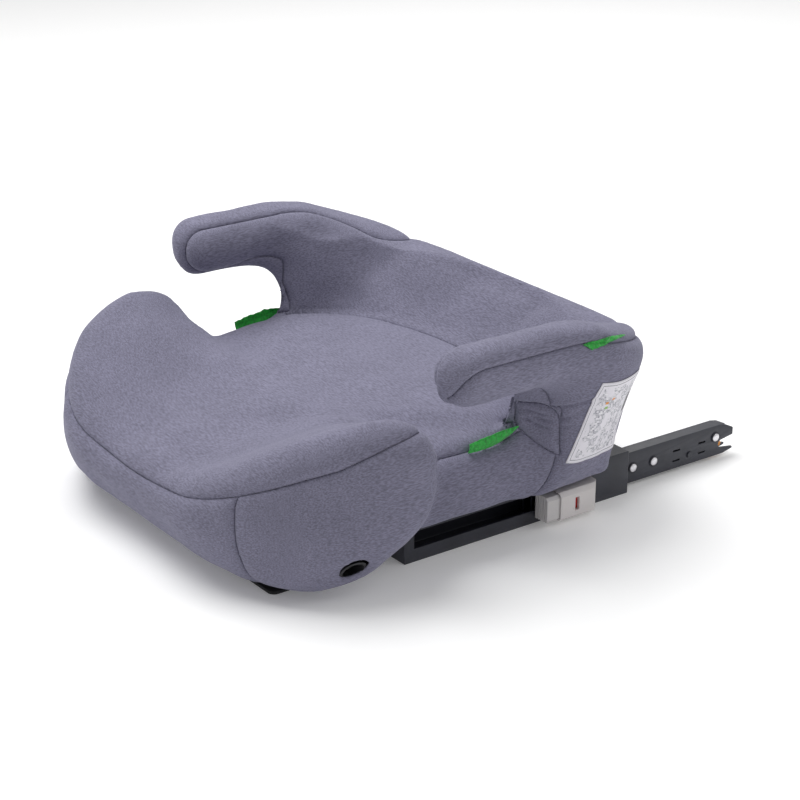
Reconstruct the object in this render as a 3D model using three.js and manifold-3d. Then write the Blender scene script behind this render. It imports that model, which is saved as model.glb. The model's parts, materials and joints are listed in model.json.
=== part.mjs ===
// Backless child booster seat with two sliding ISOFIX connectors. Millimetres, +Z up.
// The child faces -Y, the connectors point to +Y, and the origin is on the floor under the seat's middle.
import * as THREE from "three";
import { mergeVertices } from "three/addons/utils/BufferGeometryUtils.js";
import Module from "manifold-3d";

const wasm = await Module();
wasm.setup();

// ---------------------------------------------------------------- driving dimensions
const GAP = 0.3; // left between any two pieces that touch
const SEAM_GAP = 0.5; // left between two cover panels
const COVER_THICKNESS = 5; // knitted fabric on its foam backing
const FOAM_DEPTH = 7; // how far the moulded foam lies below the cover's outer face
const GRID = 21; // cell of the grid that the padded body is meshed on

const LOBE = { halfWidth: 205, frontY: -207, backY: -37, rise: 60, cornerR: 138, floorZ: 3 };
const WAIST = { halfWidth: 177, topHalfWidth: 170 };
const REAR = { halfWidth: 215, backY: 198, cornerR: 118, rimZ: 147 };
const ARM = { innerX: 164, tipY: -43, topZ: 188, bottomZ: 136, fall: 43 };
const PAN = { frontZ: 74, middleZ: 94, rearZ: 96, halfWidth: 158, backY: 126 };
const UNDERSIDE_Z = 34;

const RAIL = { inX: 128, outX: 154, frontY: -48, rearY: 180, topZ: 37.5, wall: 2.5 };
const RAIL_SLOT = { frontY: -38, rearY: 134.5, lowZ: 11, highZ: 25 };
const BAR = { inX: 134, outX: 146, frontY: 84, tipY: 306, lowZ: 3.5, highZ: 31, wall: 2 };
const HOOK_PIVOT = { y: 285.5, z: 20.5 };
const PAWL_PIVOT = { y: 256, z: 12 };
const MOUTH = { innerY: 293, z: 13, innerR: 3.6, mouthHalf: 6.2 };
const HOUSING = { inX: 154.4, outX: 172, frontY: 93, rearY: 134, lowZ: 4, highZ: 29 };
const BUTTON = { frontY: 80, rearY: 98, travel: 4, overlap: 0.8 };
const TRIM_THICKNESS = 1;
const BASE_PLATE = { halfWidth: 156, frontY: -60, rearY: 165, lowZ: 37.9, highZ: 41.4, rearR: 104 };
const SHELL = { deckLow: 58, deckHigh: 62, skirtLow: 41.8, halfWidth: 148, frontY: -168, rearY: 144 };
const RIVET_HEAD_HEIGHT = 1.6;
const CROSS_HALF_WIDTH = RAIL.inX - GAP;

// ---------------------------------------------------------------- materials
const material = (color, roughness, metalness = 0) =>
  new THREE.MeshStandardMaterial({ color, roughness, metalness });
const FABRIC = material(0x6d6a78, 0.95);
const FOAM = material(0xb9b9b4, 0.9);
const PLASTIC = material(0x1b1c20, 0.55);
const STEEL = material(0x17181c, 0.4, 0.3);
const BRIGHT = material(0xb8b8bc, 0.3, 1);
const GREY_PLASTIC = material(0xc9c7c2, 0.45);
const GREEN = material(0x0fa52c, 0.7);
const ORANGE = material(0xe08a1e, 0.5);
const RED = material(0xc8202a, 0.4);
const RUBBER = material(0x26262a, 0.9);
const LABEL = material(0xf2f2f0, 0.6);

// ---------------------------------------------------------------- solids from three.js shapes
function solid(geometry) {
  const bare = geometry.clone();
  for (const name of Object.keys(bare.attributes)) if (name !== "position") bare.deleteAttribute(name);
  const merged = mergeVertices(bare, 1e-4);
  return new wasm.Manifold(
    new wasm.Mesh({
      numProp: 3,
      vertProperties: new Float32Array(merged.attributes.position.array),
      triVerts: new Uint32Array(merged.index.array),
    }),
  );
}

function geometryOf(manifold) {
  const { vertProperties, triVerts } = manifold.getMesh();
  const geometry = new THREE.BufferGeometry();
  geometry.setAttribute("position", new THREE.BufferAttribute(new Float32Array(vertProperties), 3));
  geometry.setIndex(new THREE.BufferAttribute(new Uint32Array(triVerts), 1));
  return geometry;
}

// The same solid on the other side of X = 0.
function mirrored(manifold) {
  const geometry = geometryOf(manifold).scale(-1, 1, 1);
  geometry.index.array.forEach((_, i, all) => {
    if (i % 3 === 1) [all[i], all[i + 1]] = [all[i + 1], all[i]];
  });
  return solid(geometry);
}

const largest = (manifold) => manifold.decompose().sort((a, b) => b.volume() - a.volume())[0];

function box([x0, y0, z0], [x1, y1, z1]) {
  const geometry = new THREE.BoxGeometry(x1 - x0, y1 - y0, z1 - z0);
  return solid(geometry.translate((x0 + x1) / 2, (y0 + y1) / 2, (z0 + z1) / 2));
}

// A closed outline of [u, v] points, pushed along one axis: x takes [y, z], y takes [x, z], z takes [x, y].
const PLANES = {
  x: new THREE.Matrix4().set(0, 0, 1, 0, 1, 0, 0, 0, 0, 1, 0, 0, 0, 0, 0, 1),
  y: new THREE.Matrix4().set(1, 0, 0, 0, 0, 0, -1, 0, 0, 1, 0, 0, 0, 0, 0, 1),
  z: new THREE.Matrix4(),
};
function prism(outline, axis, from, to) {
  const isShape = outline instanceof THREE.Shape;
  const shape = isShape ? outline : new THREE.Shape(outline.map(([u, v]) => new THREE.Vector2(u, v)));
  const depth = to - from;
  const geometry = new THREE.ExtrudeGeometry(shape, { depth, bevelEnabled: false, curveSegments: 5 });
  return solid(geometry.translate(0, 0, axis === "y" ? -to : from).applyMatrix4(PLANES[axis]));
}

function rod(axis, [u, v], radius, from, to, segments = 12) {
  const geometry = new THREE.CylinderGeometry(radius, radius, to - from, segments);
  geometry.translate(0, (from + to) / 2, 0);
  if (axis === "x") geometry.rotateZ(-Math.PI / 2).translate(0, u, v);
  if (axis === "y") geometry.translate(u, 0, v);
  if (axis === "z") geometry.rotateX(Math.PI / 2).translate(u, v, 0);
  return solid(geometry);
}

// A plan outline, mirrored about X = 0, with its own corner radius at each end.
function planOutline(halfWidth, frontY, rearY, frontR, rearR) {
  const shape = new THREE.Shape();
  shape.moveTo(-halfWidth + frontR, frontY);
  shape.lineTo(halfWidth - frontR, frontY);
  shape.absarc(halfWidth - frontR, frontY + frontR, frontR, -Math.PI / 2, 0);
  shape.absarc(halfWidth - rearR, rearY - rearR, rearR, 0, Math.PI / 2);
  shape.absarc(-halfWidth + rearR, rearY - rearR, rearR, Math.PI / 2, Math.PI);
  shape.absarc(-halfWidth + frontR, frontY + frontR, frontR, Math.PI, 1.5 * Math.PI);
  return shape;
}

// ---------------------------------------------------------------- the padded body as one formula
// Each part gives a distance that is negative inside; the parts are joined with rounded inner corners.
const clamp = (value) => Math.min(1, Math.max(0, value));
const smooth = (from, to, value) => {
  const t = clamp((value - from) / (to - from));
  return t * t * (3 - 2 * t);
};
const mix = (a, b, t) => a + (b - a) * t;
const rounded = (a, b, r) =>
  Math.min(Math.max(a, b), -r) + Math.hypot(Math.max(a + r, 0), Math.max(b + r, 0));
const merged = (a, b, k) => {
  const h = clamp(0.5 + (0.5 * (b - a)) / k);
  return mix(b, a, h) - k * h * (1 - h);
};

const panZ = (y) =>
  mix(PAN.frontZ, PAN.middleZ, smooth(-200, 40, y)) + (PAN.rearZ - PAN.middleZ) * smooth(60, 140, y);

// Thigh support: two rounded lobes with the dipping front edge of the seat between them.
function thighSupport(x, y, z) {
  const ax = Math.abs(x);
  const lean = 0.035 * Math.max(z - 45, 0) + 0.08 * Math.max(60 - z, 0);
  const front = LOBE.frontY + 0.0002 * x * x - y + 0.3 * lean;
  let plan = rounded(ax - LOBE.halfWidth + lean, front, LOBE.cornerR);
  plan = rounded(plan, y - LOBE.backY + 0.25 * Math.max(z - 100, 0), 28);
  const rise = LOBE.rise * smooth(25, 200, ax) * mix(0.72, 1, smooth(-205, -140, y));
  const top = panZ(y) + rise - 0.32 * Math.max(y + 92, 0) * smooth(60, 150, ax);
  let d = rounded(plan, (z - top) * 0.93, 30);
  d = rounded(d, 0.6 * (y + 88) - 0.8 * (z - 25), 24);
  d = rounded(d, -0.665 * y - 0.747 * z - 119, 34);
  return rounded(d, LOBE.floorZ - z, 22);
}

function waist(x, y, z) {
  const halfWidth = mix(WAIST.halfWidth, WAIST.topHalfWidth, smooth(60, 95, z));
  const plan = rounded(Math.abs(x) - halfWidth, Math.abs(y) - 150, 20);
  return rounded(rounded(plan, z - panZ(y), 18), UNDERSIDE_Z - z, 8);
}

// Plan outline of the rear half, drawn in towards the underside.
function rearOutline(ax, y, z) {
  const below = Math.max(130 - z, 0);
  const rim = 0.12 * Math.min(35, Math.max(165 - z, 0));
  const halfWidth = REAR.halfWidth - rim - 0.1 * below - 0.0022 * below ** 2;
  return rounded(ax - halfWidth, y - REAR.backY + 0.05 * below + 0.0018 * below ** 2, REAR.cornerR);
}

function rearBlock(x, y, z) {
  const ax = Math.abs(x);
  const beltNotch = 0.707 * (ax - 167 - (y - 50));
  const plan = rounded(rearOutline(ax, y, z), beltNotch, 16);
  const outsidePan = rounded(ax - PAN.halfWidth, y - PAN.backY + 0.0022 * x * x, 55);
  const slope = mix(2.6, 0.95, smooth(60, 130, y));
  const top = Math.min(panZ(y) + slope * Math.max(outsidePan, 0), REAR.rimZ);
  return rounded(rounded(plan, (z - top) * 0.75, 18), UNDERSIDE_Z + 6 * smooth(30, 110, y) - z, 12);
}

function armrest(x, y, z) {
  const ax = Math.abs(x);
  const top = ARM.topZ - ARM.fall * smooth(58, 205, y) + 0.2 * (ax - 200);
  let d = rounded(rearOutline(ax, y, z), ARM.innerX - 16 * smooth(60, 150, y) - ax, 24);
  d = rounded(d, ARM.tipY - y, 25);
  d = rounded(d, z - top, 22);
  return rounded(d, (ARM.bottomZ - z) * 0.9, 20);
}

function padding(x, y, z) {
  let d = merged(thighSupport(x, y, z), waist(x, y, z), 24);
  d = merged(d, rearBlock(x, y, z), 18);
  return merged(d, armrest(x, y, z), 38);
}

// The surface where the formula equals level. It has one vertex in each grid cell that the outer face crosses
// and one quad around each grid edge that it crosses, so the surfaces of all levels lie inside one another.
function paddingSurface(level) {
  const nx = 2 * Math.ceil(240 / GRID);
  const ny = Math.ceil(460 / GRID);
  const nz = Math.ceil(240 / GRID);
  const low = [(-nx * GRID) / 2, -228, -17];
  const at = (i, j, k) => [low[0] + i * GRID, low[1] + j * GRID, low[2] + k * GRID];
  const index = (i, j, k) => (i * (ny + 1) + j) * (nz + 1) + k;
  const field = (p) => padding(p[0], p[1], p[2]);
  const value = new Float64Array((nx + 1) * (ny + 1) * (nz + 1));
  for (let i = 0; i <= nx; i++)
    for (let j = 0; j <= ny; j++) for (let k = 0; k <= nz; k++) value[index(i, j, k)] = field(at(i, j, k));

  const slopeOf = (p) =>
    [0, 1, 2].map((axis) => {
      const ahead = [...p];
      const behind = [...p];
      ahead[axis] += 1;
      behind[axis] -= 1;
      return (field(ahead) - field(behind)) / 2;
    });
  function settle(point, target) {
    let p = point;
    for (let pass = 0; pass < 4; pass++) {
      const slope = slopeOf(p);
      const step = (field(p) - target) / Math.max(0.2, slope[0] ** 2 + slope[1] ** 2 + slope[2] ** 2);
      p = p.map((v, axis) => v - Math.max(-6, Math.min(6, step * slope[axis])));
    }
    return p;
  }

  const corners = [0, 1, 2, 3, 4, 5, 6, 7].map((c) => [c & 1, (c >> 1) & 1, c >> 2]);
  const points = [];
  const facePoints = [];
  const vertexOf = new Map();
  for (let i = 0; i < nx; i++)
    for (let j = 0; j < ny; j++)
      for (let k = 0; k < nz; k++) {
        const crossings = [];
        corners.forEach((a, m) =>
          [1, 2, 4].forEach((bit) => {
            if (m & bit) return;
            const b = corners[m | bit];
            const va = value[index(i + a[0], j + a[1], k + a[2])];
            const vb = value[index(i + b[0], j + b[1], k + b[2])];
            if (va < 0 === vb < 0) return;
            crossings.push(a.map((v, axis) => v + ((b[axis] - v) * va) / (va - vb)));
          }),
        );
        if (!crossings.length) continue;
        const total = (axis) => crossings.reduce((sum, c) => sum + c[axis], 0);
        const mean = [0, 1, 2].map((axis) => total(axis) / crossings.length);
        vertexOf.set(index(i, j, k), points.length);
        const onFace = settle(mean.map((v, axis) => at(i, j, k)[axis] + v * GRID), 0);
        facePoints.push(new THREE.Vector3(...onFace));
        points.push(settle(onFace, level));
      }

  const triangles = [];
  const around = [[0, 0], [1, 0], [1, 1], [0, 1]];
  for (let i = 1; i < nx; i++)
    for (let j = 1; j < ny; j++)
      for (let k = 1; k < nz; k++)
        for (let axis = 0; axis < 3; axis++) {
          const cell = [i, j, k];
          const next = [...cell];
          next[axis] += 1;
          const inside = value[index(...cell)] < 0;
          if (inside === value[index(...next)] < 0) continue;
          const quad = around.map(([a, b]) => {
            const c = [...cell];
            c[(axis + 1) % 3] -= a;
            c[(axis + 2) % 3] -= b;
            return vertexOf.get(index(...c));
          });
          const [a, b, c, d] = inside ? quad : [...quad].reverse();
          const shortAC = facePoints[a].distanceTo(facePoints[c]) < facePoints[b].distanceTo(facePoints[d]);
          triangles.push(...(shortAC ? [a, b, c, a, c, d] : [a, b, d, b, c, d]));
        }
  const geometry = new THREE.BufferGeometry();
  geometry.setAttribute("position", new THREE.Float32BufferAttribute(points.flat(), 3));
  geometry.setIndex(triangles);
  return solid(geometry);
}

// ---------------------------------------------------------------- centre structure
const basePlateOutline = (g) =>
  planOutline(BASE_PLATE.halfWidth + g, BASE_PLATE.frontY - g, BASE_PLATE.rearY + g, 20, BASE_PLATE.rearR);
const deckOutline = (g) => planOutline(SHELL.halfWidth + g, SHELL.frontY - g, SHELL.rearY + g, 70, 64);

// The seat shell's outer shape; a positive g gives the pocket that it needs in the foam.
function shellEnvelope(g) {
  let shell = prism(deckOutline(g), "z", SHELL.skirtLow - 4 * g, SHELL.deckHigh + g);
  const upstand = [[134 - g, 56], [142 + g, 56], [175 + g, 124 + g], [168 - g, 124 + g]];
  shell = shell.add(prism(upstand, "x", -112 - g, 112 + g));
  for (const side of [1, -1]) {
    const post = [[138 - g, 54], [150 + g, 54], [197 + g, 148], [197 + g, 162 + g], [181 - g, 162 + g]];
    const sided = side > 0 ? post : post.map(([x, z]) => [-x, z]).reverse();
    shell = shell.add(prism(sided, "y", 80 - g, 110 + g));
    const [a, b] = side > 0 ? [181, 197] : [-197, -181];
    shell = shell.add(box([a - g, -12 - g, 149 - g], [b + g, 100, 162 + g]));
    const [c, d] = side > 0 ? [82, 138] : [-138, -82];
    shell = shell.add(box([c - g, -156 - g, 17 - g], [d + g, -132 + g, 60]));
  }
  return shell;
}

function seatShell() {
  const wall = 4;
  let hollow = prism(deckOutline(-wall), "z", SHELL.skirtLow - 2, SHELL.deckLow);
  for (const [a, b] of [[86, 134], [-134, -86]])
    hollow = hollow.add(box([a, -152, 10], [b, -136, SHELL.deckLow]));
  for (let x = -60; x <= 60; x += 60) hollow = hollow.subtract(box([x - 1.5, -200, 30], [x + 1.5, 200, 60]));
  for (let y = -80; y <= 110; y += 80) hollow = hollow.subtract(box([-200, y - 1.5, 30], [200, y + 1.5, 60]));
  return largest(shellEnvelope(0).subtract(hollow));
}

// A pressed channel between the two rails, open upwards.
function crossChannel(frontY, rearY, lowZ, highZ) {
  const wall = 2.5;
  const profile = [
    [frontY, lowZ], [rearY, lowZ], [rearY, highZ], [rearY - wall, highZ],
    [rearY - wall, lowZ + wall], [frontY + wall, lowZ + wall], [frontY + wall, highZ], [frontY, highZ],
  ];
  return prism(profile, "x", -CROSS_HALF_WIDTH, CROSS_HALF_WIDTH);
}

// ---------------------------------------------------------------- cover panels, cut at the seams
// Each cutter is grown by g, so that a panel and what is left of the cover keep the seam's gap.
const SOCKET = { x: 184, y: -117, z: 28 };
const SEAM = { frontX: 132, waistRearY: 66, capX: 177, outerX: 190, capEndX: 118, armUndersideZ: 125 };
const BAND_REAR_Y = -46;
const FAR = 250; // beyond the cover on every side

const bandSeamZ = (x) => 65 + 45 * (x / 186) ** 2.2;
const panCorner = (x) => 55 - Math.sqrt(55 ** 2 - Math.max(0, Math.abs(x) - 103) ** 2);
// Half of the front band's upper seam, as [x, z].
const BAND_SEAM = [0, 60, 95, 120, 145, 165, 180, 192, 200].map((x) => [x, bandSeamZ(x)]);
// The seam round the seat pan, as [x, y] from right to left.
const PAN_SEAM = [152, 137, 110, 75, 35, 0, -35, -75, -110, -137, -152].map((x) => [
  x,
  116 - 0.0018 * x * x - panCorner(x),
]);
// The armrest strip's inner seam, as [x, y], and its outer seam, as [y, z].
const CAP_SEAM = [
  [SEAM.capX, -90], [SEAM.capX, 45], [167, 88], [150, 122], [132, 146], [SEAM.capEndX, 158],
  [SEAM.capEndX, FAR],
];
const capOuterSeam = (g) => [
  [g - 39, 0], [FAR, 0], [FAR, 146 - g], [150, 157 - g], [120, 166 - g], [94, 172 - g],
  [g - 18, 172 - g], [g - 33, 165 - g], [g - 39, 152],
];
// The outer cover in plan: all of it above the belt notch, and its deeper part below.
const outerPlan = (g) => [
  [SEAM.outerX - g, -80], [FAR, -80], [FAR, FAR], [120 - g, FAR], [120 - g, 185 - g],
  [SEAM.outerX - g, 120 - g],
];
const outerLowerPlan = (g) => [
  [148 - g, 66 - g], [FAR, 66 - g], [FAR, FAR], [120 - g, FAR], [120 - g, 185 - g], [148 - g, 150],
];

const seamCutters = {
  notch_gusset: (g) => {
    const outline = [[166 - g, 98 - g], [190 + g, 71 - g], [190 + g, 106], [184, 114 + g], [166 - g, 114 + g]];
    return prism(outline, "y", 44 - g, 74.5 + g);
  },
  armrest_cap: (g) => {
    const plan = [...CAP_SEAM.map(([x, y]) => [x - g, y]), [FAR, FAR], [FAR, -90]].reverse();
    const outerFace = prism(capOuterSeam(g), "x", SEAM.outerX + g, FAR + 10);
    return prism(plan, "z", SEAM.armUndersideZ - g, 230).subtract(outerFace);
  },
  front_side_panel: (g) => {
    const front = [...BAND_SEAM.map(([x, z]) => [x, z + g]), [FAR, 132], [FAR, -20], [0, -20]].reverse();
    const centre = box([-10, -300, -100], [SEAM.frontX - g, 0, 300]);
    return prism(front, "y", -260, BAND_REAR_Y + g).subtract(centre);
  },
  side_panel: (g) => box([162 - g, BAND_REAR_Y - g, 0], [FAR, SEAM.waistRearY + g, 87 + g]),
  outer_cover: (g) =>
    prism(outerPlan(g), "z", 0, 200)
      .subtract(box([0, -300, 0], [300, -60, SEAM.armUndersideZ - g]))
      .subtract(box([0, -300, 0], [300, 46 - g, 90 - g]))
      .add(prism(outerLowerPlan(g), "z", 0, 88 + g)),
};
const centreCutters = {
  front_band: (g) => {
    const half = [...BAND_SEAM.slice(0, 6), [165, -20]].map(([x, z]) => [x, z + g]);
    const right = [...half].reverse().concat([[0, -20]]);
    const left = half.map(([x, z]) => [-x, z]).concat([[0, -20]]);
    const [from, to] = [-260, BAND_REAR_Y + g];
    return prism(right, "y", from, to).add(prism(left, "y", from, to));
  },
  rear_cover: (g) =>
    prism([[150 - g, 20], [186 - g, 146], [186 - g, 160], [260, 160], [260, 20]], "x", -FAR, FAR),
  inner_wall_cover: (g) => {
    const wallY = 46 - g;
    const pan = PAN_SEAM.map(([x, y]) => [x, y - g]);
    const plan = [
      [FAR, wallY], [157 - g, wallY], ...pan, [g - 157, wallY], [-FAR, wallY], [-FAR, 260], [FAR, 260],
    ];
    return prism(plan, "z", 70, 260).add(box([-FAR, -80, 132 - g], [FAR, 60, 260]));
  },
};

// ---------------------------------------------------------------- right-hand ISOFIX unit
function rail() {
  let body = box([RAIL.inX, RAIL.frontY, 0], [RAIL.outX, RAIL.rearY, RAIL.topZ]);
  const w = RAIL.wall;
  body = body.subtract(
    box([RAIL.inX + w, RAIL.frontY + w, w], [RAIL.outX - w, RAIL.rearY + 5, RAIL.topZ - w]),
  );
  const { frontY, rearY, lowZ, highZ } = RAIL_SLOT;
  return body.subtract(box([RAIL.outX - 5, frontY, lowZ], [RAIL.outX + 5, rearY, highZ]));
}

// A plastic collar between the rail and the bar.
function barCollar(frontY, rearY) {
  const w = RAIL.wall + GAP;
  const outer = box([RAIL.inX + w, frontY, w], [RAIL.outX - w, rearY, RAIL.topZ - w]);
  return outer.subtract(
    box([BAR.inX - GAP, frontY - 5, BAR.lowZ - GAP], [BAR.outX + GAP, rearY + 5, BAR.highZ + GAP]),
  );
}

// The fixed collar in the rail's mouth has grooves that the rivet heads pass through.
function railBushing() {
  const groove = RIVET_HEAD_HEIGHT + 0.5;
  return barCollar(160, RAIL.rearY - 0.5).subtract(
    box([BAR.inX - groove, 150, 8.8], [BAR.outX + groove, RAIL.rearY + 5, 26]),
  );
}

// Side view of the bar, with the jaw's mouth open towards the car's anchor.
function barOutline() {
  const { innerY, z, innerR, mouthHalf } = MOUTH;
  const shape = new THREE.Shape();
  shape.moveTo(BAR.frontY, BAR.lowZ);
  shape.lineTo(BAR.tipY - 11, BAR.lowZ);
  shape.lineTo(BAR.tipY, z - mouthHalf - 1);
  shape.lineTo(BAR.tipY, z - mouthHalf + 0.6);
  shape.lineTo(innerY, z - innerR);
  shape.absarc(innerY, z, innerR, -Math.PI / 2, -1.5 * Math.PI, true);
  shape.lineTo(BAR.tipY, z + mouthHalf - 0.6);
  shape.lineTo(BAR.tipY, BAR.highZ - 6);
  shape.lineTo(BAR.tipY - 9, BAR.highZ - 1.5);
  shape.lineTo(BAR.tipY - 16, BAR.highZ);
  shape.lineTo(BAR.frontY, BAR.highZ);
  return shape;
}

const RIVETS = { mid_rivet: [215, 16.5], front_rivet: [184.5, 16.5] };
const SMALL_SLOTS = { y: [241, 270], z: [10.5, 19.5] }; // pairs of short slots in the bar's outer plate
function isofixBar() {
  const w = BAR.wall;
  let bar = prism(barOutline(), "x", BAR.inX, BAR.outX);
  bar = bar.subtract(box([BAR.inX + w, BAR.frontY - 5, 0], [BAR.outX - w, BAR.tipY + 5, BAR.highZ - w]));
  for (const [y, z] of [...Object.values(RIVETS), [HOOK_PIVOT.y, HOOK_PIVOT.z]])
    bar = bar.subtract(rod("x", [y, z], 3 + GAP, BAR.inX - 5, BAR.outX + 5));
  bar = bar.subtract(rod("x", [PAWL_PIVOT.y, PAWL_PIVOT.z], 2 + GAP, BAR.inX - 5, BAR.outX + 5));
  for (const y of SMALL_SLOTS.y)
    for (const z of SMALL_SLOTS.z)
      bar = bar.subtract(box([BAR.outX - 3, y - 4, z - 0.8], [BAR.outX + 3, y + 4, z + 0.8]));
  // the legs of the release rod and of the indicator pass through the outer plate
  bar = bar.subtract(box([BAR.outX - 3, 97, 13], [BAR.outX + 3, 107.3, 20]));
  return bar.subtract(box([BAR.outX - 3, 108.3, 14], [BAR.outX + 3, 116.6, 20]));
}

// A rivet across the bar: a shank with a head on each side.
function rivet([y, z], radius, headR, headHeight = RIVET_HEAD_HEIGHT) {
  const shank = rod("x", [y, z], radius, BAR.inX - GAP - 0.1, BAR.outX + GAP + 0.1);
  const outer = rod("x", [y, z], headR, BAR.outX + GAP, BAR.outX + headHeight);
  return shank.add(outer).add(rod("x", [y, z], headR, BAR.inX - headHeight, BAR.inX - GAP));
}

const HOOK_X = [BAR.inX + BAR.wall + 1, BAR.outX - BAR.wall - 1];
// A side-view outline given around a pivot.
const about = (pivot, outline) => outline.map(([y, z]) => [pivot.y + y, pivot.z + z]);

function latchHook() {
  const beak = [
    [-6, 3], [-3, 6.8], [8, 6.8], [15, 4.5], [17, 0.5], [12, 0.2], [5, -2.2], [4, -4.6], [-2, -5.4], [-6, -2],
  ];
  return prism(about(HOOK_PIVOT, beak), "x", ...HOOK_X).subtract(
    rod("x", [HOOK_PIVOT.y, HOOK_PIVOT.z], 3 + GAP, BAR.inX, BAR.outX),
  );
}

const trigger = () =>
  prism(
    about(HOOK_PIVOT, [[-2, -5.8], [7, -5.2], [10, -7.5], [9, -10.5], [4.5, -12], [-0.5, -12]]), "x", ...HOOK_X,
  );

function pawl() {
  const outline = [
    [-5, -2.5], [-2, -5], [4, -5], [16, -1.5], [19.5, 2.5], [17.5, 5], [5, 4], [2.5, 12], [-2.5, 12], [-4, 3],
  ];
  return prism(about(PAWL_PIVOT, outline), "x", ...HOOK_X).subtract(
    rod("x", [PAWL_PIVOT.y, PAWL_PIVOT.z], 2 + GAP, BAR.inX, BAR.outX),
  );
}

// A flat strip inside the bar with a leg that reaches out through the rail's slot into the housing.
function innerStrip(x, [legY0, legY1], [legZ0, legZ1], legX, [runZ0, runZ1], runEndY) {
  const leg = box([x[0], legY0, legZ0], [legX, legY1, legZ1]);
  const riser = box([x[0], legY0, legZ0], [x[1], legY1, runZ1]);
  return leg.add(riser).add(box([x[0], legY0, runZ0], [x[1], runEndY, runZ1]));
}
const releaseRod = () => innerStrip([137, 140], [98.6, 102.6], [14.5, 18.5], 164, [22.4, 25], 252.4);
function indicator() {
  const strip = innerStrip([141, 143], [109, 112], [15, 19], 168, [26.2, 28.4], 277);
  return strip.add(box([166.4, 107.3, 10.4], [168.6, 112.7, 21.6]));
}

// Cross-section of the button's cap, grown by g; it slides into a recess in the housing's front.
function capProfile(g) {
  const { inX, outX, lowZ, highZ } = HOUSING;
  return [
    [inX + 1 - g, lowZ + 1.5 - g], [outX - 3.4, lowZ + 1.5 - g], [outX - 1.5 + g, lowZ + 3.4],
    [outX - 1.5 + g, highZ - 4.8], [outX - 3.8, highZ - 2.2 + g], [inX + 1 - g, highZ - 1.2 + g],
  ];
}

function releaseHousing() {
  const { inX, outX, frontY, rearY, lowZ, highZ } = HOUSING;
  const profile = [
    [inX, lowZ], [outX - 2.5, lowZ], [outX, lowZ + 2.5], [outX, highZ - 4], [outX - 3, highZ - 0.5],
    [inX, highZ + 0.5],
  ];
  let body = prism(profile, "y", frontY, rearY);
  const rearCorner = [[outX + 1, rearY - 7], [outX + 1, rearY + 1], [outX - 7, rearY + 1]];
  body = body.subtract(prism(rearCorner, "z", 0, 40));
  body = body.add(box([BAR.outX + GAP, frontY + 8.5, 11.6], [inX + 1, rearY - 1, 24.4]));
  const recess = prism(capProfile(GAP), "y", frontY - 1, frontY + BUTTON.travel + BUTTON.overlap + 0.5);
  const button = box(
    [BUTTON_X[0] - GAP, frontY - 5, BUTTON_Z[0] - GAP],
    [BUTTON_X[1] + GAP, BUTTON.rearY + BUTTON.travel + 9, BUTTON_Z[1] + GAP],
  );
  const rodLeg = box([BAR.outX - 1, 97.8, 13.8], [BUTTON_X[1], 107.4, 19.2]);
  const indicatorLeg = box([BAR.outX - 1, 108.3, 14.3], [outX - 5, 116.6, 19.7]);
  const indicatorPocket = box([outX - 6, 106.5, 9.8], [outX - 3, 117.4, 22.2]);
  const window = box([outX - 6, 107.9, 10.4], [outX + 1, 112.1, 21.6]);
  const cuts = [recess, button, rodLeg, indicatorLeg, indicatorPocket, window];
  return cuts.reduce((a, b) => a.subtract(b), body);
}

const BUTTON_X = [157.5, 167.5];
const BUTTON_Z = [8, 24.5];
function releaseButton() {
  let cap = prism(capProfile(0), "y", BUTTON.frontY, HOUSING.frontY + BUTTON.overlap);
  for (let x = 157.5; x < 168; x += 3)
    cap = cap.subtract(box([x, BUTTON.frontY - 1, 0], [x + 1.3, BUTTON.frontY + 0.8, 40]));
  return cap.add(box([BUTTON_X[0], BUTTON.frontY + 8, BUTTON_Z[0]], [BUTTON_X[1], BUTTON.rearY, BUTTON_Z[1]]));
}

function buttonSpring() {
  const turns = 3;
  const [length, radius, wireR] = [8.6, 1.9, 0.45];
  const [centreX, frontY, centreZ] = [162.5, 103.1, 22.2];
  class Coil extends THREE.Curve {
    getPoint(t) {
      const angle = 2 * Math.PI * turns * t;
      const [x, z] = [centreX + radius * Math.cos(angle), centreZ + radius * Math.sin(angle)];
      return new THREE.Vector3(x, frontY + (length - 1.4) * t, z);
    }
  }
  const wire = new THREE.Shape(Array.from({ length: 5 }, (_, i) => {
    const angle = (2 * Math.PI * i) / 5;
    return new THREE.Vector2(wireR * Math.cos(angle), wireR * Math.sin(angle));
  }));
  return solid(new THREE.ExtrudeGeometry(wire, { steps: 8 * turns, extrudePath: new Coil() }));
}

// ---------------------------------------------------------------- trim on the cover
// Each is cut from a thin skin that lies just outside the cover, so that it follows the padding.
const lapGuideCut = box([155, 0, 88], [190, 46, 98]);
const rearGuideCut = prism(
  [[75, 172], [80, 163], [92, 166], [110, 167], [130, 162], [132, 164], [112, 170], [92, 173]], "x", 170, 240,
);

// A block that stands square to the padding where the label is sewn on.
function labelCut() {
  const along = new THREE.Vector3(-24, 62, -2).normalize();
  const up = new THREE.Vector3(14, 20, 69).normalize();
  const out = along.clone().cross(up).normalize();
  const frame = new THREE.Matrix4().makeBasis(along, out.clone().cross(along), out);
  const geometry = new THREE.BoxGeometry(68, 74, 60).applyMatrix4(frame);
  return solid(geometry.translate(190, 124, 95));
}

const frontFoot = () =>
  prism(planOutline(28, -11, 11, 6, 6), "z", 0, LOBE.floorZ - GAP).translate([110, -147, 0]);

function socketLiner() {
  const place = (radius, from, to) => {
    const tube = new THREE.CylinderGeometry(radius, radius, to - from, 16).translate(0, -(from + to) / 2, 0);
    tube.scale(1.5, 1, 1).rotateZ(Math.PI / 2).rotateX(0.35).translate(SOCKET.x, SOCKET.y, SOCKET.z);
    return solid(tube);
  };
  return { hole: place(7.6, -14, 40), cup: place(7, -13, 40).subtract(place(5.6, -11, 50)) };
}

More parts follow.
